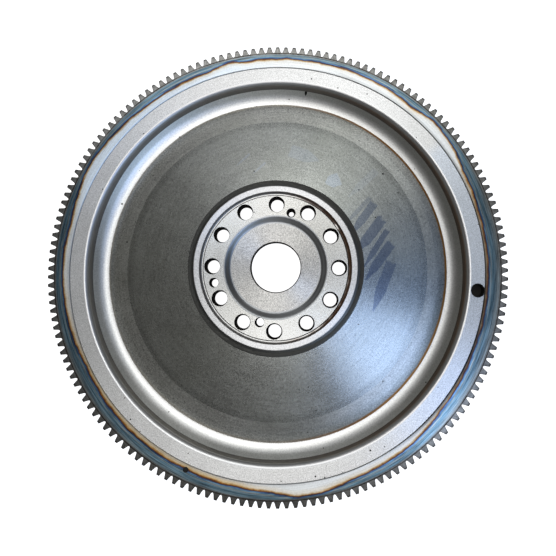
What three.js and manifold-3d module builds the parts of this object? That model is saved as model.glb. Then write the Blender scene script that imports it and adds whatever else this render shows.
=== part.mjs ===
// Heavy-vehicle flywheel with a shrunk-on starter ring gear, seen engine side up.
// Units are millimetres and +Z is up. The axis of rotation is Z, the crankshaft bolts on from above, and
// the clutch runs underneath. The origin is on the axis, level with the tips of the clutch dowel pins.
import * as THREE from "three";
import { mergeVertices } from "three/addons/utils/BufferGeometryUtils.js";
import Module from "manifold-3d";

const wasm = await Module();
wasm.setup();

// ---- driving dimensions -------------------------------------------------------------------------
const FIT_GAP = 0.3; // kept between pieces that touch
const TURN_STEPS = 72; // facets round every turned surface

// heights
const DOWEL_STAND = 6; // dowel pins stand this far below the clutch face
const CLUTCH_FACE = DOWEL_STAND; // friction face and clutch cover face
const RIM_FACE = CLUTCH_FACE + 46; // engine side of the rim, level with the ring gear
const LIP_TOP = RIM_FACE + 5.4; // raised lip round the crankshaft register
const CRANK_FACE = RIM_FACE + 1.2; // face that the crankshaft flange bolts to
const POCKET_FLOOR = RIM_FACE - 2.8; // shallow round pocket inside the bolt circle
const FLANGE_UNDERSIDE = CRANK_FACE - 14.2;
const WEB_UNDERSIDE = CLUTCH_FACE + 20; // step round the flange on the clutch side

// ring gear
const TEETH = 167;
const TOOTH_MODULE = 3;
const GEAR_WIDTH = 20;
const SEAT_RADIUS = 228.6; // turned seat that the gear is shrunk on to
const SHOULDER_RADIUS = 240; // flange that the gear is pressed against

// rim and web, engine side
const RIM_INNER = 213.6; // flat rim face ends here
const RIM_ROUND = 5.1; // rounded inner edge of the rim
const RIM_ROUND_END = 84; // degrees turned by that rounding
const VALLEY = { r: 206.9, z: RIM_FACE - 11 }; // foot of the rim's inner wall
const CHAMFER_RUN = 3.9; // 45 degree band below the wall
const FILLET = 17.6; // fillet from that band to the web
const FILLET_END = 2; // degrees of slope left where the fillet meets the web
const WEB_SLOPE = 10.5; // degrees, rising towards the hub
const TONE_STEP = 169; // radius where the web's slope eases
const OUTER_WEB_SLOPE = 8.5;
const CORNER_START = 183; // radius where the web drops off into its corner
const CORNER_SLOPE = 19.5;

// hub
const HUB_BASE = 97.5;
const LIP_OUTER = 89.8;
const LIP_INNER = 83.2;
const GROOVE_INNER = 80; // undercut groove at the foot of the lip
const GROOVE_DEPTH = 1.4;
const POCKET_RIM = 56.8;
const POCKET_FOOT = 50;
const BORE = 27.4;

// clutch side
const INNER_RECESS = 86;
const OUTER_RECESS = 118;
const FRICTION_OUTER = 216;
const COVER_INNER = 219.5;
const RELIEF_DEPTH = 1.5; // groove between friction face and cover face
const EDGE = 1; // chamfer on turned edges

// holes
const CRANK_BOLTS = { count: 12, circle: 69.75, r: 8.6, neck: 7.3 };
const FLANGE_HOLES = [
  { angle: 75, circle: 62.4, r: 4.8, neck: 2.95 },
  { angle: 195, circle: 69.75, r: 5, neck: 4.4 },
  { angle: 255, circle: 62.4, r: 5, neck: 4.4 },
];
const NECK_HEIGHT = 5; // the flange's holes are narrower over this much of their clutch end
const COVER_BOLTS = { count: 12, circle: 225, r: 4.25, depth: 22 };
const BALANCE_HOLE = { angle: -5.8, circle: 221.3, r: 7.1, depth: 12 };
const DOWELS = { count: 3, start: 15, circle: 225, r: 6, depth: 16 };

// ---- geometry helpers ---------------------------------------------------------------------------
const rad = THREE.MathUtils.degToRad;
const tan = (degrees) => Math.tan(rad(degrees));

// Points of an arc in the (radius, height) plane, angles in degrees from +radius towards +height.
function arc(r, z, radius, from, to, steps) {
  return Array.from({ length: steps + 1 }, (_, i) => {
    const a = rad(from + ((to - from) * i) / steps);
    return [r + radius * Math.cos(a), z + radius * Math.sin(a)];
  });
}

// A closed profile turned round the Z axis.
function turned(profile) {
  const points = [...profile, profile[0]].map(([r, z]) => new THREE.Vector2(r, z));
  return new THREE.LatheGeometry(points, TURN_STEPS).rotateX(Math.PI / 2);
}

// A closed mesh as a manifold solid, its shared vertices merged.
function solid(geometry) {
  const bare = geometry.clone();
  bare.deleteAttribute("normal");
  bare.deleteAttribute("uv");
  const merged = mergeVertices(bare, 1e-4);
  return new wasm.Manifold(
    new wasm.Mesh({
      numProp: 3,
      vertProperties: merged.attributes.position.array,
      triVerts: new Uint32Array(merged.index.array),
    }),
  );
}

function geometryOf(manifold) {
  const mesh = manifold.getMesh();
  return new THREE.BufferGeometry()
    .setAttribute("position", new THREE.BufferAttribute(mesh.vertProperties, 3))
    .setIndex(new THREE.BufferAttribute(mesh.triVerts, 1));
}

// A round bar along Z between two heights, at a place given by angle and pitch radius.
function bar(r, low, high, angle, circle, sides = 16) {
  return new THREE.CylinderGeometry(r, r, high - low, sides)
    .rotateX(Math.PI / 2)
    .translate(circle * Math.cos(rad(angle)), circle * Math.sin(rad(angle)), (low + high) / 2);
}

// Evenly spaced angles round the axis, in degrees.
const spaced = (count, start = 0) => Array.from({ length: count }, (_, i) => start + (360 * i) / count);

// ---- flywheel body ------------------------------------------------------------------------------
// The turned section, from the bore outwards along the clutch side and back along the engine side.
function bodyProfile() {
  const clutchSide = [
    [BORE, FLANGE_UNDERSIDE],
    [INNER_RECESS, FLANGE_UNDERSIDE],
    [INNER_RECESS, WEB_UNDERSIDE],
    [OUTER_RECESS, WEB_UNDERSIDE],
    [OUTER_RECESS, CLUTCH_FACE + EDGE],
    [OUTER_RECESS + EDGE, CLUTCH_FACE],
    [FRICTION_OUTER, CLUTCH_FACE],
    [FRICTION_OUTER, CLUTCH_FACE + RELIEF_DEPTH],
    [COVER_INNER, CLUTCH_FACE + RELIEF_DEPTH],
    [COVER_INNER, CLUTCH_FACE],
    [SHOULDER_RADIUS - EDGE, CLUTCH_FACE],
    [SHOULDER_RADIUS, CLUTCH_FACE + EDGE],
  ];
  const shoulder = RIM_FACE - GEAR_WIDTH - FIT_GAP;
  const rim = [
    [SHOULDER_RADIUS, shoulder],
    [SEAT_RADIUS, shoulder],
    [SEAT_RADIUS, RIM_FACE - EDGE],
    [SEAT_RADIUS - EDGE, RIM_FACE],
    ...arc(RIM_INNER, RIM_FACE - RIM_ROUND, RIM_ROUND, 90, 90 + RIM_ROUND_END, 5),
    [VALLEY.r, VALLEY.z],
  ];
  // The fillet's centre lies above its lowest point; it starts at 45 degrees and ends nearly level.
  const filletTop = { r: VALLEY.r - CHAMFER_RUN, z: VALLEY.z - CHAMFER_RUN };
  const centre = {
    r: filletTop.r - FILLET * Math.sin(rad(45)),
    z: filletTop.z + FILLET * Math.cos(rad(45)),
  };
  const fillet = arc(centre.r, centre.z, FILLET, -45, -90 + FILLET_END, 3);
  const [webOuterR, webOuterZ] = fillet.at(-1);
  const cornerZ = webOuterZ + (webOuterR - CORNER_START) * tan(CORNER_SLOPE);
  const toneZ = cornerZ + (CORNER_START - TONE_STEP) * tan(OUTER_WEB_SLOPE);
  const hubBaseZ = toneZ + (TONE_STEP - HUB_BASE) * tan(WEB_SLOPE);
  const web = [
    [CORNER_START, cornerZ],
    [TONE_STEP, toneZ],
    [HUB_BASE, hubBaseZ],
  ];
  const hub = [
    [LIP_OUTER + 4.4, hubBaseZ + 2.4],
    [LIP_OUTER + 1.8, hubBaseZ + 5.8],
    [LIP_OUTER, LIP_TOP],
    [LIP_INNER, LIP_TOP],
    [LIP_INNER, CRANK_FACE - GROOVE_DEPTH],
    [GROOVE_INNER, CRANK_FACE - GROOVE_DEPTH],
    [GROOVE_INNER, CRANK_FACE],
    [POCKET_RIM, CRANK_FACE],
    [POCKET_FOOT, POCKET_FLOOR],
    [BORE, POCKET_FLOOR],
  ];
  return [...clutchSide, ...rim, ...fillet, ...web, ...hub];
}

// Every hole in the body, as bars to cut away.
function bodyHoles() {
  const below = FLANGE_UNDERSIDE - 5;
  const neckTop = FLANGE_UNDERSIDE + NECK_HEIGHT;
  const above = LIP_TOP + 5;
  const under = CLUTCH_FACE - 5;
  return [
    ...spaced(CRANK_BOLTS.count).flatMap((a) => [
      bar(CRANK_BOLTS.r, neckTop, above, a, CRANK_BOLTS.circle),
      bar(CRANK_BOLTS.neck, below, neckTop + 1, a, CRANK_BOLTS.circle),
    ]),
    ...FLANGE_HOLES.flatMap((h) => [
      bar(h.r, neckTop, above, h.angle, h.circle, 12),
      bar(h.neck, below, neckTop + 1, h.angle, h.circle, 12),
    ]),
    ...spaced(COVER_BOLTS.count).map((a) =>
      bar(COVER_BOLTS.r, under, CLUTCH_FACE + COVER_BOLTS.depth, a, COVER_BOLTS.circle, 12),
    ),
    ...spaced(DOWELS.count, DOWELS.start).map((a) =>
      bar(DOWELS.r + FIT_GAP, under, CLUTCH_FACE + DOWELS.depth + FIT_GAP, a, DOWELS.circle),
    ),
    bar(BALANCE_HOLE.r, RIM_FACE - BALANCE_HOLE.depth, above, BALANCE_HOLE.angle, BALANCE_HOLE.circle),
  ];
}

function bodyGeometry() {
  const blank = solid(turned(bodyProfile()));
  return geometryOf(bodyHoles().reduce((left, hole) => left.subtract(solid(hole)), blank));
}

// ---- starter ring gear --------------------------------------------------------------------------
// Straight-sided teeth of the standard 20 degree form, with a flat root and a flat tip.
function gearGeometry() {
  const pitch = (TEETH * TOOTH_MODULE) / 2;
  const tip = pitch + TOOTH_MODULE;
  const root = pitch - 1.25 * TOOTH_MODULE;
  const halfAt = (r) => (Math.PI * TOOTH_MODULE) / 4 - (r - pitch) * tan(20);
  const outline = spaced(TEETH).flatMap((angle) =>
    [
      [root, -1],
      [tip, -1],
      [tip, 1],
      [root, 1],
    ].map(([r, side]) => {
      const a = rad(angle) + (side * halfAt(r)) / r;
      return new THREE.Vector2(r * Math.cos(a), r * Math.sin(a));
    }),
  );
  const bore = SEAT_RADIUS + FIT_GAP;
  const shape = new THREE.Shape(outline);
  shape.holes.push(
    new THREE.Path(
      spaced(TURN_STEPS).map((a) => new THREE.Vector2(bore * Math.cos(rad(a)), bore * Math.sin(rad(a)))),
    ),
  );
  return new THREE.ExtrudeGeometry(shape, { depth: GEAR_WIDTH, bevelEnabled: false });
}

// ---- clutch dowel pin ---------------------------------------------------------------------------
// A plain pin with a chamfered end, standing out of the clutch face.
function dowelGeometry() {
  const length = DOWEL_STAND + DOWELS.depth;
  const profile = [
    [0, 0],
    [DOWELS.r - EDGE, 0],
    [DOWELS.r, EDGE],
    [DOWELS.r, length],
    [0, length],
  ].map(([r, z]) => new THREE.Vector2(r, z));
  return new THREE.LatheGeometry(profile, 16).rotateX(Math.PI / 2);
}

// ---- assembly -----------------------------------------------------------------------------------
const iron = new THREE.MeshStandardMaterial({ color: 0x8d8e8b, roughness: 0.42, metalness: 0.9 });
const gearSteel = new THREE.MeshStandardMaterial({ color: 0x4d5a63, roughness: 0.38, metalness: 0.95 });
const pinSteel = new THREE.MeshStandardMaterial({ color: 0xb4b6b8, roughness: 0.25, metalness: 1 });

function piece(name, geometry, material) {
  const mesh = new THREE.Mesh(geometry, material);
  mesh.name = name;
  return mesh;
}

const flywheel = new THREE.Group();
flywheel.add(piece("flywheel_body", bodyGeometry(), iron));

const ringGear = piece("ring_gear", gearGeometry(), gearSteel);
ringGear.position.z = RIM_FACE - GEAR_WIDTH;
flywheel.add(ringGear);

spaced(DOWELS.count, DOWELS.start).forEach((angle, i) => {
  const pin = piece(`clutch_dowel_pin_${i + 1}`, dowelGeometry(), pinSteel);
  pin.position.set(DOWELS.circle * Math.cos(rad(angle)), DOWELS.circle * Math.sin(rad(angle)), 0);
  flywheel.add(pin);
});

export default flywheel;
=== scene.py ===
"""Heavy-vehicle flywheel with its starter ring gear, engine side up.

Lengths are in millimetres in the part's own frame, and become metres as each mesh is made. Only the
floor, the lights and the camera are placed in metres. The pieces keep the CAD model's overall sizes,
with finer steps, rounded corners, broken edges, slightly fuller teeth and a finish.
"""
import math

import bpy
from mathutils import Euler, Matrix, Vector


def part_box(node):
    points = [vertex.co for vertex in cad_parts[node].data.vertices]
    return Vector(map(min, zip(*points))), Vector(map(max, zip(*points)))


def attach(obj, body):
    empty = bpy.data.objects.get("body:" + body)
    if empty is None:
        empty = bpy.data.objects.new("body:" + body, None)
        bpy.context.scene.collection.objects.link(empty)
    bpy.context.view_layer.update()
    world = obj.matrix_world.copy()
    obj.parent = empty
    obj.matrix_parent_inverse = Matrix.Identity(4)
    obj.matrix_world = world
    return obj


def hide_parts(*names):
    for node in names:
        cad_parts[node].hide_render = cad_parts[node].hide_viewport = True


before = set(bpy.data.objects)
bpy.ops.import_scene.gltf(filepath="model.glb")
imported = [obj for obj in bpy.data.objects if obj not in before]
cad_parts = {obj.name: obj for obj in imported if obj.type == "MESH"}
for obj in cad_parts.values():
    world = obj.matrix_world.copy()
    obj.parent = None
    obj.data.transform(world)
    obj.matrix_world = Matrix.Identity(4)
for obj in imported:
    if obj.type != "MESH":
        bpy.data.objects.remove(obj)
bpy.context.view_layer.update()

MM = 0.001


def node_heights(node):
    low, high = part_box(node)
    return low[2] / MM, high[2] / MM


# ---- sizes ---------------------------------------------------------------------------------------
# Heights.
CLUTCH_FACE, LIP_TOP = node_heights("flywheel_body")
GEAR_BACK, RIM_FACE = node_heights("ring_gear")
PIN_TIP, PIN_TOP = node_heights("clutch_dowel_pin_1")
CRANK_FACE = RIM_FACE + 1.2
GROOVE_FLOOR = CRANK_FACE - 1.4
POCKET_FLOOR = RIM_FACE - 2.8
FLANGE_UNDERSIDE = CRANK_FACE - 14.2
WEB_UNDERSIDE = CLUTCH_FACE + 20

# Radii of the engine side, from the bore outwards, and the slopes (degrees) and curves between them.
BORE = 27.4
POCKET_FOOT = 48.8
POCKET_RIM = 57.8
GROOVE_INNER = 80.0
LIP_INNER = 83.2
LIP_OUTER = 89.8
HUB_SHOULDER = (91.0, LIP_TOP - 1.05)
HUB_BASE = 97.5
# The hub's wall: how far in from its base, and how far up.
HUB_WALL = ((0, 0), (0.7, 0.5), (1.6, 1.15), (2.8, 2.2), (4.2, 3.7), (5.3, 5.3))
WEB_SLOPE = 10.5
TONE_STEP = 169.0
OUTER_WEB_SLOPE = 8.5
CORNER_START = 178.0
CORNER_SLOPE = 22.0
FILLET = 16.7
FILLET_END = 2.0
CHAMFER_RUN = 3.9
VALLEY = (206.9, RIM_FACE - 11)
RIM_INNER = 213.6
RIM_ROUND = 5.1
RIM_ROUND_END = 84.0
SEAT_RADIUS = 228.6

# Radii of the clutch side.
INNER_RECESS = 86.0
OUTER_RECESS = 118.0
FRICTION_OUTER = 216.0
COVER_INNER = 219.5
SHOULDER_RADIUS = 240.0

# The gear, its straight flanks and what fills them out.
TEETH = 167
TOOTH_MODULE = 3.0
PITCH_RADIUS = TEETH * TOOTH_MODULE / 2
TOOTH_TIP = PITCH_RADIUS + TOOTH_MODULE
TOOTH_ROOT = PITCH_RADIUS - 1.25 * TOOTH_MODULE
GEAR_BORE = 228.9
FLANK_SLOPE = 20
FLANK_BULGE = 0.10
TIP_FILL = 0.36
TOOTH_BREAK = 0.55
GEAR_BREAK = 0.6

# Holes and pins: radii, depths and broken edges, with angles from +X.
CRANK_BOLTS = dict(circle=69.75, r=8.6, neck=7.3)
FLANGE_HOLES = (
    dict(angle=75, circle=62.4, r=4.8, neck=2.95),
    dict(angle=195, circle=69.75, r=5.0, neck=4.4),
    dict(angle=255, circle=62.4, r=5.0, neck=4.4),
)
NECK_HEIGHT = 5.0
COVER_BOLTS = dict(circle=225.0, r=4.25, depth=22.0, chamfer=0.8)
BALANCE_HOLE = dict(angle=-5.8, circle=221.3, r=7.1, depth=12.0, chamfer=0.5)
GEAR_DIMPLE = dict(angle=247.1, circle=234.6, r=2.6, depth=1.3, chamfer=0.4)
PIN_CIRCLE = 225.0
PIN_ANGLES = (15, 135, 255)
PIN_RADIUS = 6.0
PIN_HOLES = dict(circle=PIN_CIRCLE, r=6.3, depth=PIN_TOP - CLUTCH_FACE + 0.3, chamfer=0.4)

TURN_STEPS = 360
ARC_STEPS = 18
POCKET_STEPS = 16
CORNER_STEPS = 10
HOLE_STEPS = 48


# ---- outlines ------------------------------------------------------------------------------------
def arc(r, z, radius, start, end, steps):
    """Points of an arc in the (radius, height) plane, in degrees from +radius towards +height."""
    angles = [math.radians(start + (end - start) * i / steps) for i in range(steps + 1)]
    return [(r + radius * math.cos(a), z + radius * math.sin(a)) for a in angles]


def polar(circle, degrees):
    a = math.radians(degrees)
    return circle * math.cos(a), circle * math.sin(a)


def tan(degrees):
    return math.tan(math.radians(degrees))


def bearing(azimuth, off_axis):
    """The direction at an azimuth and an angle from straight up, in degrees."""
    a, t = math.radians(azimuth), math.radians(off_axis)
    return math.sin(t) * math.cos(a), math.sin(t) * math.sin(a), math.cos(t)


# ---- mesh making ---------------------------------------------------------------------------------
def mesh_object(name, points, faces, zones, materials):
    """An object from points in mm, its faces, the zone of each face and {zone: material}."""
    mesh = bpy.data.meshes.new(name)
    mesh.from_pydata([(x * MM, y * MM, z * MM) for x, y, z in points], [], faces)
    for material in materials.values():
        mesh.materials.append(material)
    order = {zone: i for i, zone in enumerate(materials)}
    mesh.polygons.foreach_set("material_index", [order[zone] for zone in zones])
    made = bpy.data.objects.new(name, mesh)
    bpy.context.scene.collection.objects.link(made)
    return made


def turned(name, section, materials, steps=TURN_STEPS):
    """A solid from a closed section of (zone, points) stretches, counter-clockwise in (radius, height)."""
    profile, zones = [], []
    for zone, stretch in section:
        stretch = [p for i, p in enumerate(stretch) if i or not profile]
        zones += [zone] * (len(stretch) - (0 if profile else 1))
        profile += stretch
    if profile[0][0] > 0:
        profile.pop()
    points, faces, face_zones, first = [], [], [], []
    for r, z in profile:
        first.append(len(points))
        points += [(*polar(r, 360 * k / steps), z) for k in range(steps if r > 0 else 1)]
    for i, zone in enumerate(zones):
        j = (i + 1) % len(profile)
        a, b = first[i], first[j]
        for k in range(steps):
            m = (k + 1) % steps
            if profile[i][0] == 0:
                faces.append((a, b + m, b + k))
            elif profile[j][0] == 0:
                faces.append((a + k, a + m, b))
            else:
                faces.append((a + k, a + m, b + m, b + k))
            face_zones.append(zone)
    return mesh_object(name, points, faces, face_zones, materials)


def drill(place, outline, material):
    """A small solid turned round its own upright axis from (radius, height) points, at an (x, y) place."""
    tool = turned("drill", [("cut", outline)], {"cut": material}, HOLE_STEPS)
    tool.data.transform(Matrix.Translation((place[0] * MM, place[1] * MM, 0)))
    return tool


def joined(name, objects):
    with bpy.context.temp_override(active_object=objects[0], selected_editable_objects=objects):
        bpy.ops.object.join()
    objects[0].name = objects[0].data.name = name
    return objects[0]


def cut(target, cutters):
    """Cuts closed cutters that are clear of each other out of target."""
    tools = joined("cutters", cutters)
    modifier = target.modifiers.new("cut", "BOOLEAN")
    modifier.operation = "DIFFERENCE"
    modifier.solver = "EXACT"
    modifier.material_mode = "TRANSFER"
    modifier.object = tools
    depsgraph = bpy.context.evaluated_depsgraph_get()
    mesh = bpy.data.meshes.new_from_object(target.evaluated_get(depsgraph))
    target.modifiers.clear()
    target.data = mesh
    mesh.name = target.name
    bpy.data.objects.remove(tools)


def shade(target, degrees=24):
    """Smooth shading that breaks at corners and where the finish changes."""
    mesh = target.data
    mesh.polygons.foreach_set("use_smooth", [True] * len(mesh.polygons))
    mesh.set_sharp_from_angle(angle=math.radians(degrees))
    finish = {}
    for polygon in mesh.polygons:
        for edge in polygon.edge_keys:
            finish.setdefault(edge, set()).add(polygon.material_index)
    for edge in mesh.edges:
        if len(finish.get(tuple(sorted(edge.vertices)), ())) > 1:
            edge.use_edge_sharp = True


# ---- shader building -----------------------------------------------------------------------------
def add_node(tree, kind, **settings):
    made = tree.nodes.new("ShaderNode" + kind)
    for key, value in settings.items():
        setattr(made, key, value)
    return made


class Shader:
    """A material's node tree, with short calls for the nodes that the finishes share."""

    def __init__(self, name):
        self.material = bpy.data.materials.new(name)
        self.material.use_nodes = True
        self.tree = self.material.node_tree
        self.principled = self.tree.nodes["Principled BSDF"]

    def node(self, kind, **settings):
        return add_node(self.tree, kind, **settings)

    def feed(self, socket, value):
        if isinstance(value, bpy.types.NodeSocket):
            self.tree.links.new(value, socket)
        elif value is not None:
            socket.default_value = value

    def math(self, operation, a, b=None, c=None):
        made = self.node("Math", operation=operation)
        for socket, value in zip(made.inputs, (a, b, c)):
            self.feed(socket, value)
        return made.outputs[0]

    def position(self):
        return self.node("TexCoord").outputs["Object"]

    def split(self, vector):
        made = self.node("SeparateXYZ")
        self.feed(made.inputs[0], vector)
        return made.outputs

    def combine(self, x, y, z):
        made = self.node("CombineXYZ")
        for socket, value in zip(made.inputs, (x, y, z)):
            self.feed(socket, value)
        return made.outputs[0]

    def measure_round(self):
        """Sets r, the radius in mm, ux and uy, the unit vector, and turn, 0 to 1 from -X round."""
        x, y, _ = self.split(self.position())
        r = self.math("SQRT", self.math("ADD", self.math("MULTIPLY", x, x), self.math("MULTIPLY", y, y)))
        safe = self.math("MAXIMUM", r, 1e-5)
        self.r = self.math("MULTIPLY", r, 1 / MM)
        self.ux = self.math("DIVIDE", x, safe)
        self.uy = self.math("DIVIDE", y, safe)
        self.turn = self.math("MULTIPLY_ADD", self.math("ARCTAN2", y, x), 0.5 / math.pi, 0.5)

    def drawn_round(self, across, along):
        """A place for noise that draws it out round the axis, from its scale round and per mm of radius."""
        return self.combine(self.math("MULTIPLY", self.ux, across), self.math("MULTIPLY", self.uy, across),
                            self.math("MULTIPLY", self.r, along))

    def around(self, marks):
        """A value by angle, from (degrees, value) marks at rising angles from -180 to 180."""
        return self.ramp(self.turn, [((at + 180) / 360, (value, value, value)) for at, value in marks])

    def noise(self, vector, scale, detail=2.0, roughness=0.5):
        made = self.node("TexNoise")
        self.feed(made.inputs["Vector"], vector)
        made.inputs["Scale"].default_value = scale
        made.inputs["Detail"].default_value = detail
        made.inputs["Roughness"].default_value = roughness
        return made.outputs["Fac"]

    def voronoi(self, vector, scale):
        made = self.node("TexVoronoi")
        self.feed(made.inputs["Vector"], vector)
        made.inputs["Scale"].default_value = scale
        return made.outputs

    def span(self, value, low, high, to_low=0.0, to_high=1.0, smooth=True):
        """value taken from low..high to to_low..to_high, clamped."""
        made = self.node("MapRange", clamp=True,
                         interpolation_type="SMOOTHSTEP" if smooth else "LINEAR")
        for socket, number in zip(made.inputs[:5], (value, low, high, to_low, to_high)):
            self.feed(socket, number)
        return made.outputs[0]

    def bump_at(self, value, middle, half, soft):
        """1 within half of middle, falling to 0 over soft."""
        away = self.math("ABSOLUTE", self.math("SUBTRACT", value, middle))
        return self.span(away, half, half + soft, 1.0, 0.0)

    def ramp(self, value, stops):
        made = self.node("ValToRGB")
        elements = made.color_ramp.elements
        elements[0].position, elements[1].position = stops[0][0], stops[-1][0]
        for at, _ in stops[1:-1]:
            elements.new(at)
        for element, (_, colour) in zip(elements, stops):
            element.color = (*colour, 1)
        self.feed(made.inputs[0], value)
        return made.outputs[0]

    def mix(self, factor, a, b, blend="MIX"):
        made = self.node("Mix", data_type="RGBA", blend_type=blend)
        for socket, value in ((made.inputs[0], factor), (made.inputs[6], a), (made.inputs[7], b)):
            if isinstance(value, tuple) and len(value) == 3:
                value = (*value, 1)
            self.feed(socket, value)
        return made.outputs[2]

    def times(self, colour, factor):
        """colour multiplied by a value or by a plain colour."""
        if isinstance(factor, bpy.types.NodeSocket):
            factor = self.combine(factor, factor, factor)
        return self.mix(1.0, colour, factor, "MULTIPLY")

    def bump(self, height, distance, strength):
        made = self.node("Bump")
        made.inputs["Distance"].default_value = distance
        made.inputs["Strength"].default_value = strength
        self.feed(made.inputs["Height"], height)
        return made.outputs["Normal"]

    def grain_along_turning(self, amount):
        """Stretches reflections across the circular tool marks."""
        tangent = self.node("Tangent", direction_type="RADIAL", axis="Z")
        self.principled.inputs["Anisotropic"].default_value = amount
        self.principled.inputs["Anisotropic Rotation"].default_value = 0.25
        self.feed(self.principled.inputs["Tangent"], tangent.outputs[0])


PIT_BLACK = (0.03, 0.028, 0.026)
# Near black, for grime and for painted shade on the tooth tips and in the blow-hole.
GRIME_AND_SHADE = (0.02, 0.018, 0.016)


def iron(name, tone, rough, aniso=0.0, mottle=0.30, grain=0.08, ring_mm=1.6, pits=0.0, relief=0.4,
         speck=640.0, overlay=None):
    """Turned grey iron: tool-mark rings, speckle, faint stains and open pits on a share of 9 mm cells.

    overlay, a finish of its own for what lies on the iron and for painted light and shade, takes and gives
    the colour and the roughness.
    """
    s = Shader(name)
    s.measure_round()
    place = s.position()
    rings = s.noise(s.drawn_round(6.0, 1 / ring_mm), 1.0, 3.0, 0.6)
    speckle = s.noise(place, speck, 3.0, 0.8)
    cloud = s.noise(place, 24.0, 4.0, 0.6)
    value = s.math("MULTIPLY_ADD", s.math("SUBTRACT", rings, 0.5), grain * 2, 1.0)
    value = s.math("MULTIPLY_ADD", s.math("SUBTRACT", speckle, 0.5), mottle * 2, value)
    value = s.math("MULTIPLY_ADD", s.math("SUBTRACT", cloud, 0.5), 0.22, value)
    colour = s.times(tone, value)
    roughness = s.math("MULTIPLY_ADD", s.math("SUBTRACT", cloud, 0.5), 0.10,
                       s.math("MULTIPLY_ADD", s.math("SUBTRACT", speckle, 0.5), 0.12, rough))
    height = s.math("ADD", s.math("MULTIPLY", rings, 0.6), s.math("MULTIPLY", speckle, 0.6))
    if pits:
        cells = s.voronoi(place, 110.0)
        pick, size, _ = s.split(cells["Color"])
        reach = s.math("MULTIPLY_ADD", size, 0.06, 0.035)
        inside = s.span(s.math("SUBTRACT", cells["Distance"], reach), 0.0, 0.045, 1.0, 0.0)
        inside = s.math("MULTIPLY", inside, s.math("LESS_THAN", pick, pits))
        colour = s.mix(inside, colour, PIT_BLACK)
        roughness = s.math("MAXIMUM", roughness, s.math("MULTIPLY", inside, 0.8))
    if overlay:
        colour, roughness = overlay(s, colour, roughness)
    shader = s.principled
    s.feed(shader.inputs["Base Color"], colour)
    shader.inputs["Metallic"].default_value = 1.0
    s.feed(shader.inputs["Roughness"], roughness)
    s.feed(shader.inputs["Normal"], s.bump(height, 0.00004, relief))
    if aniso:
        s.grain_along_turning(aniso)
    return s.material


def dark_drilled(name, tone):
    """The wall of a drilled hole: black oiled iron with spiral drill marks."""
    s = Shader(name)
    x, y, z = s.split(s.position())
    marks = s.noise(s.combine(s.math("MULTIPLY", x, 30.0), s.math("MULTIPLY", y, 30.0),
                              s.math("MULTIPLY", z, 900.0)), 1.0, 2.0)
    shader = s.principled
    s.feed(shader.inputs["Base Color"], s.mix(marks, tuple(0.4 * c for c in tone), tone))
    s.feed(shader.inputs["Roughness"], s.math("MULTIPLY_ADD", marks, 0.2, 0.7))
    shader.inputs["Specular IOR Level"].default_value = 0.0
    s.feed(shader.inputs["Normal"], s.bump(marks, 0.0001, 0.4))
    return s.material


# ---- films, stains, painted light and shade ------------------------------------------------------
# Ragged ovals as middle x, y, half length, half width (mm), lean (degrees) and strength (0 to 1):
# dark bluish streaks on the web beside the hub, which are painted reflections,
PAINTED_REFLECTIONS = (
    (90.5, 64.5, 22.0, 2.6, 48.0, 0.5),
    (96.0, 55.5, 24.0, 5.0, 54.0, 0.9),
    (103.5, 36.5, 26.0, 6.2, 53.0, 1.0),
    (110.0, 22.0, 26.0, 3.4, 58.0, 1.0),
    (113.5, 8.0, 26.0, 5.6, 55.0, 1.0),
    (117.5, -19.5, 30.0, 6.2, 69.0, 0.9),
)
# pale bluish patches on the web,
PALE_BLUE_PATCHES = (
    (62.0, 98.0, 9.0, 8.0, 20.0, 0.9),
    (30.0, 128.0, 18.0, 8.0, 160.0, 0.5),
    (96.0, 96.0, 24.0, 4.5, 45.0, 0.3),
    (-21.0, 112.0, 10.0, 1.3, 45.0, 0.7),
    (-40.0, 122.0, 11.0, 1.3, 45.0, 0.7),
)
# and an open blow-hole in the band, painted dark for the shade inside it.
BLOW_HOLE = ((30.5, 203.4, 2.6, 1.5, 80.0, 1.0),)


def stains_and_reflections(s, stains):
    """A value of 0 to 1 for ragged ovals that narrow towards their lower end: stains and painted reflections.
    """
    place = s.position()
    x, y, _ = s.split(place)
    ragged = s.math("MULTIPLY_ADD", s.noise(place, 160.0, 3.0, 0.7), 0.4, -0.2)
    marks = None
    for mx, my, half, width, lean, strength in stains:
        c, d = math.cos(math.radians(lean)), math.sin(math.radians(lean))
        px = s.math("SUBTRACT", x, mx * MM)
        py = s.math("SUBTRACT", y, my * MM)
        along = s.math("MULTIPLY_ADD", px, c / (half * MM), s.math("MULTIPLY", py, d / (half * MM)))
        across = s.math("MULTIPLY_ADD", px, -d / (width * MM), s.math("MULTIPLY", py, c / (width * MM)))
        taper = s.span(along, -1.0, -0.1, 0.2, 1.0)
        shape = s.math("MAXIMUM", s.math("ABSOLUTE", along),
                       s.math("DIVIDE", s.math("ABSOLUTE", across), taper))
        inside = s.span(s.math("ADD", shape, ragged), 0.88, 1.02, strength, 0.0)
        marks = inside if marks is None else s.math("MAXIMUM", marks, inside)
    return marks


# Every table by angle below holds (degrees from +X, value) marks.
# How bright the web's outer zone is painted by angle, just outside its step and in the corner: partly an oil
# film, partly painted light and shade.
ZONE_START = (
    (-180, 1.05), (-120, 1.0), (-100, 0.82), (-80, 0.68), (-60, 1.0), (-20, 1.0), (0, 0.78), (20, 0.80),
    (40, 1.08), (60, 0.96), (100, 0.84), (140, 0.86), (160, 0.97), (180, 1.05),
)
ZONE_CORNER = (
    (-180, 1.25), (-140, 1.45), (-120, 1.6), (-100, 1.2), (-80, 1.0), (-60, 0.9), (-40, 0.62), (-20, 0.38),
    (0, 0.66), (20, 0.9), (40, 1.3), (60, 1.3), (80, 1.22), (120, 1.2), (140, 1.45), (160, 1.25), (180, 1.25),
)
CORNER_BLEND = (175.0, 186.0)
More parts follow.
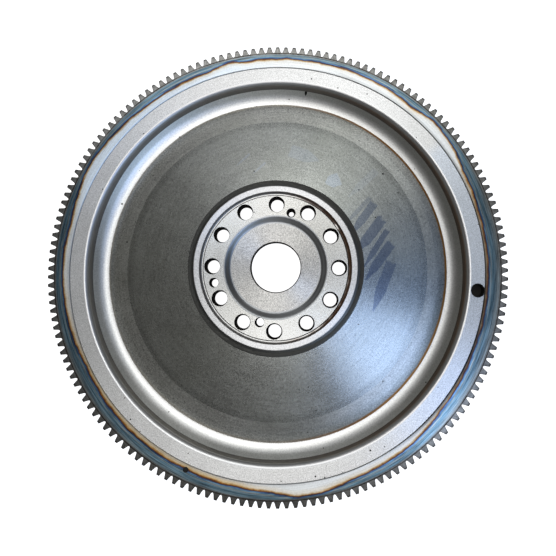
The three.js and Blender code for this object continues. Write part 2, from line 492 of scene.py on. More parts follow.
# Where the inner zone darkens towards the step, and to what share.
STEP_SHADE = (158.0, TONE_STEP - 2)
STEP_SHARE = 0.78
# The rust line in the corner: its radius, half its width and its soft edge.
RUST_LINE = (191.5, 0.8, 1.4)


def web_film_and_light(s, colour, roughness):
    """Oil film and painted light and shade by angle, blotches, pale bluish patches, painted dark reflections
    beside the hub and a rust line in the outer corner.
    """
    place = s.position()
    # painted light and shade by angle, partly an oil film
    zone = s.mix(s.span(s.r, *CORNER_BLEND), s.around(ZONE_START), s.around(ZONE_CORNER))
    shade = s.span(s.r, *STEP_SHADE, 1.0, STEP_SHARE)
    colour = s.times(colour, s.mix(s.math("LESS_THAN", s.r, TONE_STEP), zone, shade))
    blotches = s.span(s.noise(place, 14.0, 4.0, 0.6), 0.35, 0.75, 0.0, 0.35)
    colour = s.mix(blotches, colour, (0.40, 0.41, 0.36))
    colour = s.mix(s.math("MULTIPLY", stains_and_reflections(s, PALE_BLUE_PATCHES), 0.35), colour, (0.56, 0.66, 0.84))
    # painted dark reflections beside the hub
    colour = s.mix(s.math("MULTIPLY", stains_and_reflections(s, PAINTED_REFLECTIONS), 0.66), colour, (0.12, 0.16, 0.25))
    rust = s.bump_at(s.math("MULTIPLY_ADD", s.noise(place, 60.0), 1.6, s.r), *RUST_LINE)
    rust = s.math("MULTIPLY", rust, s.span(s.ux, -0.1, 0.7, 0.12, 0.95))
    return s.mix(rust, colour, (0.48, 0.22, 0.06)), roughness


# How bright the rim's face is painted by angle, as painted light and shade, and where a painted blue
# reflection of the window light lies.
RIM_PAINTED_LIGHT = (
    (-180, 0.80), (-155, 0.80), (-135, 0.98), (-30, 0.98), (-10, 0.86), (20, 0.86), (35, 1.05), (60, 1.05),
    (100, 1.0), (120, 1.12), (140, 1.0), (160, 0.86), (180, 0.80),
)
RIM_BLUE_REFLECTION = ((-180, 0.0), (-55, 0.0), (-35, 1.0), (36, 1.0), (39, 0.0), (180, 0.0))


def rim_painted_light(s, colour, roughness):
    """Painted light and shade by angle, and a painted blue reflection over the side towards +X."""
    colour = s.times(colour, s.around(RIM_PAINTED_LIGHT))
    return s.mix(s.around(RIM_BLUE_REFLECTION), colour, s.times(colour, (0.91, 0.97, 1.06))), roughness


# How bright the band is painted by angle: painted shade, partly an oil film, darkens it mostly towards +X.
BAND_SHADE_AND_OIL = (
    (-180, 0.87), (-140, 0.93), (-100, 0.98), (-60, 0.88), (-30, 0.76), (0, 0.62), (45, 0.62), (70, 0.78),
    (100, 1.0), (125, 1.0), (150, 0.98), (180, 0.87),
)
BAND_FOOT = (200.0, 204.5)


def band_shade_and_oil(s, colour, roughness):
    """Darkened by painted shade towards the foot of the rim wall, where it is also oilier and smoother."""
    # painted shade towards the foot of the rim wall
    depth = s.span(s.r, *BAND_FOOT)
    colour = s.times(colour, s.around(BAND_SHADE_AND_OIL))
    colour = s.mix(stains_and_reflections(s, BLOW_HOLE), colour, GRIME_AND_SHADE)
    return (s.mix(depth, colour, s.times(colour, (0.80, 0.81, 0.79))),
            s.math("MULTIPLY_ADD", depth, -0.05, roughness))


def wall_painted_shade(s, colour, roughness):
    """Kept bright where it rounds over on to the rim face, with painted shade darkening it below."""
    z = s.split(s.position())[2]
    depth = s.span(z, (RIM_FACE - 4.5) * MM, (RIM_FACE + 0.3) * MM, 1.0, 0.0, False)
    return s.mix(depth, colour, s.times(colour, (0.28, 0.27, 0.255))), roughness


def groove_rust_and_shadow(s, colour, roughness):
    """Rust and painted shadow in the foot of the register groove, mostly towards +X."""
    rust = s.math("MULTIPLY", s.span(s.noise(s.position(), 40.0, 3.0), 0.30, 0.55),
                  s.span(s.ux, 0.0, 0.7, 0.05, 0.85))
    return s.mix(rust, colour, (0.17, 0.085, 0.04)), s.math("MAXIMUM", roughness, rust)


# How bright the crankshaft's face is painted by angle, as painted light, and where a painted warm tint
# offsets the blue window light.
CRANK_PAINTED_LIGHT = (
    (-180, 1.0), (-120, 1.02), (-100, 1.08), (-80, 1.16), (-60, 1.08), (-40, 0.96), (-20, 1.04), (0, 1.0),
    (20, 0.97), (60, 0.90), (80, 1.0), (100, 1.08), (120, 1.08), (140, 0.98), (180, 1.0),
)
CRANK_WARM = (
    (-180, 0.0), (-60, 0.1), (-40, 1.0), (-20, 0.6), (0, 0.0), (115, 0.2), (140, 1.0), (165, 0.5), (180, 0.0),
)


def crank_painted_light(s, colour, roughness):
    """Brighter towards the lip, with painted light by angle and a painted warm tint on the two sides in line
    with the window light.
    """
    lightness = s.math("MULTIPLY", s.around(CRANK_PAINTED_LIGHT), s.span(s.r, 62.0, 77.0, 1.0, 1.08))
    colour = s.times(colour, lightness)
    return s.mix(s.around(CRANK_WARM), colour, s.times(colour, (1.0, 0.955, 0.87))), roughness


# How bright the polished curve round the pocket is painted by angle: painted light, brighter on one side than
# the other.
RING_PAINTED_LIGHT = (
    (-180, 0.95), (-160, 0.80), (-140, 1.0), (-100, 1.12), (-80, 1.3), (-60, 1.5), (-40, 1.35), (-20, 1.2),
    (0, 1.15), (40, 1.25), (60, 1.45), (80, 1.6), (100, 1.75), (120, 1.75), (140, 1.6), (160, 1.2),
    (180, 0.95),
)


def ring_painted_light(s, colour, roughness):
    """Painted light on its polish, brighter on one side than on the other."""
    return s.times(colour, s.around(RING_PAINTED_LIGHT)), roughness


# ---- gear steel ----------------------------------------------------------------------------------
# Where the temper colours start on the gear's face, from 0 at its bore to 1 after TINT_REACH mm.
TINT_REACH = 18.0
TINT_START = (
    (-180, 0.41), (-168, 0.35), (-152, 0.18), (-135, 0.24), (-112, 0.27), (-98, 0.34), (-90, 0.42),
    (-84, 0.72), (-78, 0.70), (-70, 0.48), (-50, 0.38), (-40, 0.19), (-22, 0.12), (0, 0.14),
    (18, 0.16), (28, 0.26), (33, 0.52), (44, 0.68), (50, 0.41), (58, 0.54), (100, 0.55), (104, 0.68),
    (110, 0.44), (125, 0.43), (140, 0.50), (150, 0.66), (155, 0.62), (160, 0.49), (168, 0.34),
    (174, 0.40), (180, 0.41),
)
# The colours, from 0.4 before that start to 0.6 beyond it.
TINT_COLOURS = (
    (0.0, (0.68, 0.70, 0.71)), (0.27, (0.64, 0.65, 0.65)), (0.33, (0.50, 0.40, 0.26)),
    (0.375, (0.30, 0.17, 0.07)), (0.415, (0.075, 0.037, 0.03)), (0.45, (0.03, 0.028, 0.045)),
    (0.485, (0.03, 0.055, 0.115)), (0.53, (0.048, 0.095, 0.14)), (0.57, (0.085, 0.12, 0.135)),
    (0.60, (0.105, 0.11, 0.115)), (0.64, (0.07, 0.105, 0.125)), (0.72, (0.045, 0.08, 0.105)),
    (0.86, (0.065, 0.095, 0.115)), (1.0, (0.085, 0.10, 0.105)),
)
# Where the silver before them is painted blue and bright, a painted reflection of the window light.
SILVER_BLUE_REFLECTION = ((-180, 0.3), (-160, 0.0), (90, 0.0), (112, 1.0), (160, 1.0), (180, 0.3))
# How pale the steel beyond the start is.
TINT_PALENESS = (
    (-180, 0.02), (-150, 0.1), (-135, 0.35), (-115, 0.42), (-100, 0.3), (-80, 0.1), (-68, 0.4), (-56, 0.6),
    (-48, 1.4), (-40, 1.4), (-30, 0.9), (-14, 0.25), (0, 0.1), (20, 0.0), (34, 0.2), (60, 0.75), (80, 0.35),
    (98, 0.7), (122, 0.9), (138, 0.45), (150, 0.1), (160, 0.0), (180, 0.02),
)
# How much straw colour lies on the silver.
TINT_STRAW = (
    (-180, 0.2), (-165, 0.5), (-150, 1.0), (-100, 1.0), (-92, 0.4), (-82, 0.25), (-72, 0.5), (-55, 0.2),
    (-30, 0.5), (20, 0.8), (32, 0.0), (45, 0.1), (50, 0.4), (56, 0.1), (90, 0.1), (112, 0.4),
    (122, 0.1), (150, 0.0), (165, 0.3), (180, 0.2),
)
# How bright the rubbed faces of the teeth are.
TEETH_WEAR = (
    (-180, 0.11), (-120, 0.095), (-90, 0.055), (-60, 0.13), (-40, 0.25), (-20, 0.16), (0, 0.15), (20, 0.12),
    (60, 0.18), (100, 0.29), (120, 0.31), (140, 0.24), (160, 0.12), (180, 0.11),
)
# How dark the painted shadow in the seam between the gear and its seat is.
SEAT_SHADOW = (
    (-180, 0.3), (-60, 0.1), (-45, 0.75), (-25, 0.95), (5, 0.7), (40, 0.4), (70, 0.25), (90, 0.0),
    (160, 0.0), (180, 0.3),
)
# Radii over which the painted shadow in the seam ends, the rubbed faces start and the painted shade on
# the tips starts, and that of the burr line round the foot of the teeth.
SEAM_END = (229.4, 233.2)
TEETH_FOOT = (243.2, 245.2)
TIP_SHADE = (250.4, 252.8)
BURR_LINE = 245.7


def temper_colours(s, wander):
    """Silver and straw near the seat, and steel blue with fine streaks round the gear beyond."""
    streaks = s.noise(s.drawn_round(4.0, 0.55), 1.0, 3.0, 0.7)
    fine = s.noise(s.drawn_round(9.0, 1.5), 1.0, 2.0, 0.7)
    depth = s.math("MULTIPLY_ADD", s.r, 1 / TINT_REACH, -GEAR_BORE / TINT_REACH)
    level = s.math("SUBTRACT", depth, s.around(TINT_START))
    level = s.math("MULTIPLY_ADD", s.math("SUBTRACT", wander, 0.5), 0.22, level)
    level = s.math("MULTIPLY_ADD", s.math("SUBTRACT", streaks, 0.5), 0.18, level)
    tint = s.ramp(s.math("ADD", level, 0.4), TINT_COLOURS)
    # painted blue reflection on the silver
    bluish = s.math("MULTIPLY", s.around(SILVER_BLUE_REFLECTION), s.span(level, -0.1, 0.0, 1.0, 0.0))
    tint = s.mix(bluish, tint, s.times(tint, (1.02, 1.12, 1.24)))
    straw = s.math("MULTIPLY", s.span(level, -0.42, -0.12), s.span(level, 0.0, 0.06, 1.0, 0.0))
    straw = s.math("MULTIPLY", straw, s.around(TINT_STRAW))
    tint = s.mix(straw, tint, s.times(tint, (1.0, 0.80, 0.52)))
    beyond = s.span(level, -0.02, 0.10)
    contrast = s.math("MULTIPLY_ADD", beyond, 2.0, 0.5)
    streaky = s.math("MULTIPLY_ADD", s.math("SUBTRACT", fine, 0.5), 1.1, s.math("SUBTRACT", streaks, 0.5))
    value = s.math("MAXIMUM", s.math("MULTIPLY_ADD", streaky, contrast, 1.0), 0.25)
    pale = s.math("MULTIPLY_ADD", s.math("MULTIPLY", s.around(TINT_PALENESS), beyond), 2.2, 1.0)
    return tint, s.math("MULTIPLY", value, pale)


def worn_teeth(s, colour, wander):
    """Rubbed tooth faces with painted shade on the tips, and a dark burr line round their foot."""
    worn = s.mix(s.noise(s.position(), 300.0, 3.0, 0.7), (0.1, 0.09, 0.07), (1.95, 1.93, 1.85))
    worn = s.times(worn, s.around(TEETH_WEAR))
    # painted shade on the tooth tips
    worn = s.mix(s.span(s.r, *TIP_SHADE, 0.0, 0.75), worn, GRIME_AND_SHADE)
    colour = s.mix(s.span(s.r, *TEETH_FOOT), colour, worn)
    burr = s.math("MULTIPLY", s.bump_at(s.r, BURR_LINE, 0.35, 0.5), s.span(wander, 0.3, 0.6, 0.5, 0.95))
    return s.mix(burr, colour, GRIME_AND_SHADE)


def heat_tinted(name):
    """The gear's steel: temper colours on its face, worn teeth and a painted shadow in the seam at its seat.
    """
    s = Shader(name)
    s.measure_round()
    place = s.position()
    wander = s.noise(place, 70.0, 4.0, 0.65)
    speckle = s.noise(place, 620.0, 2.0, 0.7)
    tint, value = temper_colours(s, wander)
    value = s.math("MULTIPLY_ADD", s.math("SUBTRACT", speckle, 0.5), 0.5, value)
    colour = worn_teeth(s, s.times(tint, value), wander)
    # painted shadow in the seam, by angle
    shadow = s.math("MULTIPLY", s.span(s.r, *SEAM_END, 1.0, 0.0), s.around(SEAT_SHADOW))
    colour = s.mix(shadow, colour, (0.02, 0.022, 0.03))
    shader = s.principled
    s.feed(shader.inputs["Base Color"], colour)
    shader.inputs["Metallic"].default_value = 1.0
    s.feed(shader.inputs["Roughness"], s.math("MULTIPLY_ADD", speckle, 0.16, 0.30))
    s.feed(shader.inputs["Normal"], s.bump(speckle, 0.00003, 0.5))
    s.grain_along_turning(0.6)
    return s.material


def tooth_steel(name):
    """Dark, dry flanks of the teeth, with brighter rubbed places."""
    s = Shader(name)
    rub = s.noise(s.position(), 220.0, 3.0, 0.6)
    shader = s.principled
    s.feed(shader.inputs["Base Color"], s.mix(rub, (0.035, 0.03, 0.027), (0.20, 0.19, 0.175)))
    shader.inputs["Metallic"].default_value = 0.35
    shader.inputs["Specular IOR Level"].default_value = 0.2
    s.feed(shader.inputs["Roughness"], s.math("MULTIPLY_ADD", rub, 0.2, 0.5))
    s.feed(shader.inputs["Normal"], s.bump(rub, 0.00006, 0.5))
    return s.material


def plain_floor():
    """Pale paper that glows a little, so that it stays white behind the part."""
    s = Shader("floor_paper")
    s.principled.inputs["Base Color"].default_value = (0.86, 0.86, 0.86, 1)
    s.principled.inputs["Roughness"].default_value = 0.9
    s.principled.inputs["Specular IOR Level"].default_value = 0.1
    s.principled.inputs["Emission Color"].default_value = (1, 1, 1, 1)
    s.principled.inputs["Emission Strength"].default_value = 0.9
    return s.material


# ---- the body's finishes by zone -----------------------------------------------------------------
finish = {
    "rim": iron("rim_iron", (0.585, 0.585, 0.585), 0.36, aniso=0.9, mottle=1.0, pits=0.45,
                speck=900.0, overlay=rim_painted_light),
    "seat": iron("seat_iron", (0.20, 0.20, 0.20), 0.40, mottle=0.05),
    "wall": iron("wall_iron", (0.56, 0.56, 0.56), 0.34, mottle=0.2, relief=0.2, overlay=wall_painted_shade),
    "band": iron("band_iron", (0.76, 0.755, 0.735), 0.40, aniso=0.4, mottle=0.5, pits=0.25, relief=0.15,
                 overlay=band_shade_and_oil),
    "web_outer": iron("web_outer_iron", (0.49, 0.49, 0.465), 0.31, mottle=1.4, grain=0.36, pits=0.18,
                      overlay=web_film_and_light),
    "web_inner": iron("web_inner_iron", (0.49, 0.50, 0.48), 0.27, mottle=1.0, grain=0.34, pits=0.16,
                      overlay=web_film_and_light),
    "hub": iron("hub_iron", (0.12, 0.12, 0.115), 0.36, mottle=0.1),
    "lip": iron("lip_iron", (0.67, 0.67, 0.68), 0.42, aniso=0.9, mottle=0.7, pits=0.2),
    "lip_wall": iron("lip_wall_iron", (0.30, 0.29, 0.28), 0.45, overlay=groove_rust_and_shadow),
    "groove": iron("groove_iron", (0.62, 0.62, 0.61), 0.36, aniso=0.5, overlay=groove_rust_and_shadow),
    "edge": iron("groove_edge_iron", (0.08, 0.08, 0.08), 0.5),
    "crank": iron("crank_iron", (0.82, 0.815, 0.79), 0.48, aniso=0.95, mottle=1.4, pits=0.3,
                  speck=900.0, overlay=crank_painted_light),
    "ring": iron("ring_iron", (0.22, 0.225, 0.23), 0.34, mottle=0.2, overlay=ring_painted_light),
    "pocket": iron("pocket_iron", (0.61, 0.60, 0.585), 0.48, aniso=0.9, mottle=1.6, grain=0.2,
                   speck=900.0),
    "bore": dark_drilled("bore_iron", (0.030, 0.027, 0.025)),
    "hole": dark_drilled("drilled_iron", (0.022, 0.019, 0.017)),
    "turned": iron("turned_iron", (0.30, 0.30, 0.295), 0.42, aniso=0.6, grain=0.14),
    "friction": iron("ground_iron", (0.60, 0.60, 0.60), 0.34, aniso=0.5, grain=0.10, ring_mm=0.8),
    "deep": dark_drilled("deep_drilled_iron", (0.05, 0.048, 0.045)),
}


# ---- flywheel body -------------------------------------------------------------------------------
def web_corner(start):
    """The web's outer stretch from the foot of the fillet inwards, as it flattens towards the zone step."""
    points = [start]
    step = (start[0] - CORNER_START) / CORNER_STEPS
    for i in range(CORNER_STEPS):
        slope = CORNER_SLOPE + (OUTER_WEB_SLOPE - CORNER_SLOPE) * (i + 0.5) / CORNER_STEPS
        points.append((points[-1][0] - step, points[-1][1] + step * tan(slope)))
    return points


def pocket_curve():
    """The polished curve from the crankshaft's face down into the pocket."""
    points = []
    for i in range(POCKET_STEPS + 1):
        t = i / POCKET_STEPS
        fall = t * t / (t * t + (1 - t) ** 2)
        points.append((POCKET_RIM + t * (POCKET_FOOT - POCKET_RIM),
                       CRANK_FACE + fall * (POCKET_FLOOR - CRANK_FACE)))
    return points


def body_section():
    """The casting's closed section by zone, from the bore's foot round by the clutch side."""
    shoulder = GEAR_BACK - 0.3
    wall_top = arc(RIM_INNER, RIM_FACE - RIM_ROUND, RIM_ROUND, 90, 90 + RIM_ROUND_END, ARC_STEPS)
    band_top = (VALLEY[0] - CHAMFER_RUN, VALLEY[1] - CHAMFER_RUN)
    diagonal = FILLET / math.sqrt(2)
    fillet = arc(band_top[0] - diagonal, band_top[1] + diagonal, FILLET, -45, -90 + FILLET_END, ARC_STEPS)
    corner = web_corner(fillet[-1])
    tone_z = corner[-1][1] + (CORNER_START - TONE_STEP) * tan(OUTER_WEB_SLOPE)
    base_z = tone_z + (TONE_STEP - HUB_BASE) * tan(WEB_SLOPE)
    hub_wall = [(HUB_BASE - run, base_z + rise) for run, rise in HUB_WALL]
    pocket = pocket_curve()
    groove = GROOVE_FLOOR
    return [
        ("turned", [(BORE, FLANGE_UNDERSIDE + 0.8), (BORE + 0.8, FLANGE_UNDERSIDE),
                    (INNER_RECESS - 3, FLANGE_UNDERSIDE)]),
        ("turned", [(INNER_RECESS - 3, FLANGE_UNDERSIDE), (INNER_RECESS - 0.9, FLANGE_UNDERSIDE - 0.9),
                    (INNER_RECESS, FLANGE_UNDERSIDE - 3), (INNER_RECESS, WEB_UNDERSIDE + 1),
                    (INNER_RECESS + 1, WEB_UNDERSIDE), (OUTER_RECESS - 4, WEB_UNDERSIDE),
                    (OUTER_RECESS - 1.2, WEB_UNDERSIDE - 1.2), (OUTER_RECESS, WEB_UNDERSIDE - 4),
                    (OUTER_RECESS, CLUTCH_FACE + 1), (OUTER_RECESS + 1, CLUTCH_FACE)]),
        ("friction", [(OUTER_RECESS + 1, CLUTCH_FACE), (FRICTION_OUTER - 0.4, CLUTCH_FACE)]),
        ("turned", [(FRICTION_OUTER - 0.4, CLUTCH_FACE), (FRICTION_OUTER, CLUTCH_FACE + 0.4),
                    (FRICTION_OUTER, CLUTCH_FACE + 1.5), (COVER_INNER, CLUTCH_FACE + 1.5),
                    (COVER_INNER, CLUTCH_FACE + 0.4), (COVER_INNER + 0.4, CLUTCH_FACE),
                    (SHOULDER_RADIUS - 1, CLUTCH_FACE), (SHOULDER_RADIUS, CLUTCH_FACE + 1),
                    (SHOULDER_RADIUS, shoulder - 0.5), (SHOULDER_RADIUS - 0.5, shoulder),
                    (SEAT_RADIUS, shoulder)]),
        ("seat", [(SEAT_RADIUS, shoulder), (SEAT_RADIUS, RIM_FACE - 0.5),
                  (SEAT_RADIUS - 0.5, RIM_FACE)]),
        ("rim", [(SEAT_RADIUS - 0.5, RIM_FACE), wall_top[0]]),
        ("wall", [*wall_top, VALLEY]),
        ("band", [VALLEY, *fillet]),
        ("web_outer", [*corner, (TONE_STEP, tone_z)]),
        ("web_inner", [(TONE_STEP, tone_z), (HUB_BASE, base_z)]),
        ("hub", [*hub_wall, HUB_SHOULDER, (LIP_OUTER, LIP_TOP - 0.5)]),
        ("lip", [(LIP_OUTER, LIP_TOP - 0.5), (LIP_OUTER - 0.6, LIP_TOP), (LIP_INNER + 0.5, LIP_TOP)]),
        ("lip_wall", [(LIP_INNER + 0.5, LIP_TOP), (LIP_INNER, LIP_TOP - 0.5),
                      (LIP_INNER - 0.1, groove + 2.0), (LIP_INNER - 0.5, groove + 0.8),
                      (LIP_INNER - 1.3, groove + 0.15), (LIP_INNER - 1.7, groove)]),
        ("groove", [(LIP_INNER - 1.7, groove), (GROOVE_INNER + 0.5, groove)]),
        ("edge", [(GROOVE_INNER + 0.5, groove), (GROOVE_INNER, groove + 0.5),
                  (GROOVE_INNER, CRANK_FACE - 0.4), (GROOVE_INNER - 0.6, CRANK_FACE)]),
        ("crank", [(GROOVE_INNER - 0.6, CRANK_FACE), pocket[0]]),
        ("ring", pocket),
        ("pocket", [pocket[-1], (BORE + 1.0, POCKET_FLOOR)]),
        ("bore", [(BORE + 1.0, POCKET_FLOOR), (BORE, POCKET_FLOOR - 1.0),
                  (BORE, FLANGE_UNDERSIDE + 0.8)]),
    ]


def through_hole(angle, circle, r, neck, chamfer=0.35):
    """A hole through the flange, narrower over its last few millimetres on the clutch side."""
    low, high = FLANGE_UNDERSIDE, CRANK_FACE
    outline = [(0, low - 3), (neck + chamfer, low - 3), (neck + chamfer, low), (neck, low + chamfer),
               (neck, low + NECK_HEIGHT), (r, low + NECK_HEIGHT + 0.6 * (r - neck)),
               (r, high - chamfer), (r + chamfer, high), (r + chamfer, high + 8), (0, high + 8)]
    return drill(polar(circle, angle), outline, finish["hole"])


def blind_hole(angle, circle, r, depth, chamfer, face, upward, material):
    """A drilled hole with a 118 degree point, into a face that looks up or down."""
    side = -1 if upward else 1
    point = r / tan(118 / 2)
    outline = [(0, depth + point), (r, depth), (r, chamfer), (r + chamfer, 0), (r + chamfer, -3), (0, -3)]
    outline = [(x, face + side * d) for x, d in outline]
    return drill(polar(circle, angle), outline if upward else outline[::-1], material)


def body():
    made = turned("flywheel_casting", body_section(), finish)
    tools = [through_hole(30 * i, **CRANK_BOLTS) for i in range(12)]
    tools += [through_hole(**hole) for hole in FLANGE_HOLES]
    downward = dict(face=CLUTCH_FACE, upward=False, material=finish["hole"])
    tools += [blind_hole(30 * i, **COVER_BOLTS, **downward) for i in range(12)]
    tools += [blind_hole(angle, **PIN_HOLES, **downward) for angle in PIN_ANGLES]
    tools.append(blind_hole(**BALANCE_HOLE, face=RIM_FACE, upward=True, material=finish["deep"]))
    cut(made, tools)
    shade(made)
    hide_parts("flywheel_body")
    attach(made, "root")


# ---- starter ring gear ---------------------------------------------------------------------------
def half_tooth(r):
    """Half the angle that a tooth takes at a radius, in degrees."""
    up = (r - TOOTH_ROOT) / (TOOTH_TIP - TOOTH_ROOT)
    fill = FLANK_BULGE * math.sin(math.pi * up) + TIP_FILL * up * up
    return math.degrees((math.pi * TOOTH_MODULE / 4 - (r - PITCH_RADIUS) * tan(FLANK_SLOPE) + fill) / r)


def tooth_outline():
    """One tooth as (radius, angle in degrees from its middle), root fillets, flanks and broken tips."""
    foot = half_tooth(TOOTH_ROOT)
    gap = 180 / TEETH - foot
    right = [(TOOTH_ROOT, foot + 0.82 * gap), (TOOTH_ROOT + 0.12, foot + 0.50 * gap),
             (TOOTH_ROOT + 0.38, foot + 0.20 * gap)]
    heights = [TOOTH_ROOT + share * (TOOTH_TIP - TOOTH_ROOT) for share in (0.14, 0.4, 0.68, 0.94)]
    right += [(r, half_tooth(r)) for r in heights]
    right.append((TOOTH_TIP, half_tooth(TOOTH_TIP) - 0.035))
    return [(r, -a) for r, a in right] + [(r, a) for r, a in reversed(right)]


def ring_gear(steel, flank):
    outline = [(r, 360 * k / TEETH + a) for k in range(TEETH) for r, a in tooth_outline()]
    n = len(outline)
    flat = [Vector(polar(r, a)) for r, a in outline]
    inset = []
    for i, p in enumerate(flat):
        along = (flat[(i + 1) % n] - flat[i - 1]).normalized()
        inset.append(p - Vector((along.y, -along.x)) * TOOTH_BREAK)
    high, low = RIM_FACE, GEAR_BACK
    angles = [a for _, a in outline]
    body_edge = TOOTH_ROOT - 1.5
    rings = [[(p.x, p.y, high) for p in inset],
             [(*polar(body_edge, a), high) for a in angles],
             [(*polar(GEAR_BORE + GEAR_BREAK, a), high) for a in angles],
             [(*polar(GEAR_BORE, a), high - GEAR_BREAK) for a in angles],
             [(*polar(GEAR_BORE, a), low + GEAR_BREAK) for a in angles],
             [(*polar(GEAR_BORE + GEAR_BREAK, a), low) for a in angles],
             [(*polar(body_edge, a), low) for a in angles],
             [(p.x, p.y, low) for p in inset],
             [(p.x, p.y, low + TOOTH_BREAK) for p in flat],
             [(p.x, p.y, high - TOOTH_BREAK) for p in flat]]
    points = [p for ring in rings for p in ring]
    faces = []
    for j in range(len(rings)):
        a, b = j * n, (j + 1) % len(rings) * n
        faces += [(a + k, a + (k + 1) % n, b + (k + 1) % n, b + k) for k in range(n)]
    zones = ["steel"] * (7 * n) + ["flank"] * (3 * n)
    made = mesh_object("starter_ring_gear", points, faces, zones, {"steel": steel, "flank": flank})
    cut(made, [blind_hole(**GEAR_DIMPLE, face=RIM_FACE, upward=True, material=finish["deep"])])
    shade(made, 22)
    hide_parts("ring_gear")
    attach(made, "root")


# ---- dowel pins ----------------------------------------------------------------------------------
def pins(material):
    r = PIN_RADIUS
    outline = [(0, PIN_TIP), (r - 1.6, PIN_TIP), (r - 0.9, PIN_TIP + 0.25), (r - 0.3, PIN_TIP + 0.9),
               (r, PIN_TIP + 2.0), (r, PIN_TOP - 0.8), (r - 0.8, PIN_TOP), (0, PIN_TOP)]
    for i, angle in enumerate(PIN_ANGLES, 1):
        pin = drill(polar(PIN_CIRCLE, angle), outline, material)
        pin.name = pin.data.name = f"dowel_pin_{i}"
        shade(pin, 40)
        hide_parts(f"clutch_dowel_pin_{i}")
        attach(pin, "root")


body()
ring_gear(heat_tinted("heat_tinted_steel"), tooth_steel("tooth_steel"))
pins(iron("ground_pin_steel", (0.66, 0.67, 0.68), 0.24, mottle=0.04, grain=0.05, ring_mm=0.5))


# ---- floor, light and camera ---------------------------------------------------------------------
# In metres, as are the lights' and the camera's lengths below.
FLOOR_REACH = 6.0
FLOOR_LEVEL = -0.0005


def floor():
    reach, level = FLOOR_REACH, FLOOR_LEVEL
    mesh = bpy.data.meshes.new("floor")
    mesh.from_pydata([(-reach, -reach, level), (reach, -reach, level), (reach, reach, level),
                      (-reach, reach, level)], [], [(0, 1, 2, 3)])
    mesh.materials.append(plain_floor())
    made = bpy.data.objects.new("floor", mesh)
    bpy.context.scene.collection.objects.link(made)


def softbox(name, azimuth, off_axis, distance, width, height, radiance, colour):
    """An area light that faces the part, placed by its bearing and its angle from straight up."""
    lamp = bpy.data.lights.new(name, "AREA")
    lamp.shape = "RECTANGLE"
    lamp.size, lamp.size_y = width, height
    lamp.energy = 4 * width * height * radiance
    lamp.color = colour
    made = bpy.data.objects.new(name, lamp)
    direction = Vector(bearing(azimuth, off_axis))
    aim = Vector((0, 0, RIM_FACE * MM))
    made.matrix_world = (Matrix.Translation(aim + direction * distance)
                         @ direction.to_track_quat("Z", "Y").to_matrix().to_4x4())
    made.visible_camera = False
    bpy.context.scene.collection.objects.link(made)


# Room light by height: near the horizon, part way up, and overhead.
ROOM_LOW = (0.42, 0.42, 0.42)
ROOM_MIDDLE = (0.12, 0.12, 0.115)
ROOM_HIGH = (0.10, 0.098, 0.092)
# Soft patches of room light: direction, full within and gone beyond (degrees), colour.
ROOM_GLOWS = (
    (bearing(62, 17), 6, 18, (0.95, 1.00, 1.00)),
    (bearing(74, 34), 2, 20, (0.20, 0.22, 0.22)),
    (bearing(62, 54), 6, 23, (0.36, 0.36, 0.36)),
    (bearing(108, 52), 4, 26, (0.34, 0.35, 0.37)),
    (bearing(14, 54), 4, 24, (0.08, 0.09, 0.11)),
    (bearing(-84, 56), 4, 26, (0.26, 0.27, 0.28)),
    (bearing(124, 18), 0, 20, (0.55, 0.57, 0.60)),
    (bearing(-8, 34), 2, 30, (0.00, 0.05, 0.15)),
    (bearing(-25, 21), 2, 20, (0.00, 0.04, 0.14)),
    (bearing(-40, 62), 10, 30, (0.34, 0.50, 0.72)),
)


def glow(tree, place, direction, inner, outer):
    """1 within inner degrees of a direction, fading to 0 at outer degrees."""
    dot = add_node(tree, "VectorMath", operation="DOT_PRODUCT")
    tree.links.new(place, dot.inputs[0])
    dot.inputs[1].default_value = Vector(direction).normalized()
    fade = add_node(tree, "MapRange", clamp=True, interpolation_type="SMOOTHSTEP")
    tree.links.new(dot.outputs["Value"], fade.inputs[0])
    fade.inputs[1].default_value = math.cos(math.radians(outer))
    fade.inputs[2].default_value = math.cos(math.radians(inner))
    return fade.outputs[0]


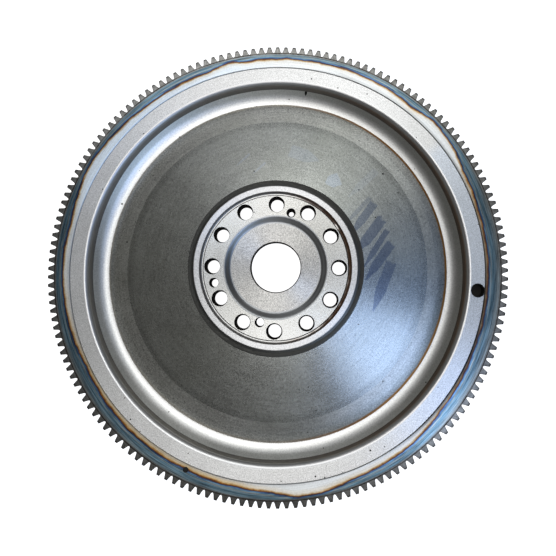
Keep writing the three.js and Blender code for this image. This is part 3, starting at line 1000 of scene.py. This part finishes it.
def sky():
    """Dim room light that is paler near the horizon, with soft pale patches, and plain pale to the camera."""
    world = bpy.data.worlds.new("room")
    world.use_nodes = True
    tree = world.node_tree
    place = add_node(tree, "TexCoord").outputs["Generated"]
    height = add_node(tree, "SeparateXYZ")
    tree.links.new(place, height.inputs[0])
    room = add_node(tree, "ValToRGB")
    room.color_ramp.interpolation = "EASE"
    elements = room.color_ramp.elements
    elements[0].position, elements[0].color = 0.0, (*ROOM_LOW, 1)
    elements[1].position, elements[1].color = 1.0, (*ROOM_HIGH, 1)
    for at, colour in ((0.10, ROOM_LOW), (0.34, ROOM_MIDDLE), (0.60, ROOM_MIDDLE), (0.80, ROOM_HIGH)):
        elements.new(at).color = (*colour, 1)
    tree.links.new(height.outputs["Z"], room.inputs[0])
    total = room.outputs[0]
    for direction, inner, outer, colour in ROOM_GLOWS:
        layer = add_node(tree, "Mix", data_type="RGBA", blend_type="ADD")
        tree.links.new(glow(tree, place, direction, inner, outer), layer.inputs[0])
        tree.links.new(total, layer.inputs[6])
        layer.inputs[7].default_value = (*colour, 1)
        total = layer.outputs[2]
    eye = add_node(tree, "LightPath")
    seen = add_node(tree, "Mix", data_type="RGBA")
    tree.links.new(eye.outputs["Is Camera Ray"], seen.inputs[0])
    tree.links.new(total, seen.inputs[6])
    seen.inputs[7].default_value = (0.95, 0.95, 0.95, 1)
    tree.links.new(seen.outputs[2], tree.nodes["Background"].inputs[0])
    bpy.context.scene.world = world


floor()
sky()
softbox("strip_softbox", azimuth=90, off_axis=4, distance=2.2, width=0.86, height=2.2, radiance=1.7,
        colour=(1.0, 0.99, 0.97))
softbox("window_light", azimuth=-38, off_axis=38, distance=2.6, width=1.0, height=1.1, radiance=2.1,
        colour=(0.51, 0.665, 1.0))

# The lens is shifted because the framing is not centred on its axis.
lens = bpy.data.cameras.new("camera")
lens.lens = 35.69
lens.sensor_width = 36.0
lens.shift_x = -0.0353
lens.shift_y = -0.0754
lens.clip_start = 0.01
camera = bpy.data.objects.new("camera", lens)
camera.location = (0.04113, -0.03401, RIM_FACE * MM + 0.6052)
camera.rotation_euler = Euler((math.radians(6.47), math.radians(1.63), math.radians(0.68)),
                              "ZYX").to_matrix().to_euler()
bpy.context.scene.collection.objects.link(camera)
bpy.context.scene.camera = camera
bpy.context.scene.view_settings.view_transform = "Standard"
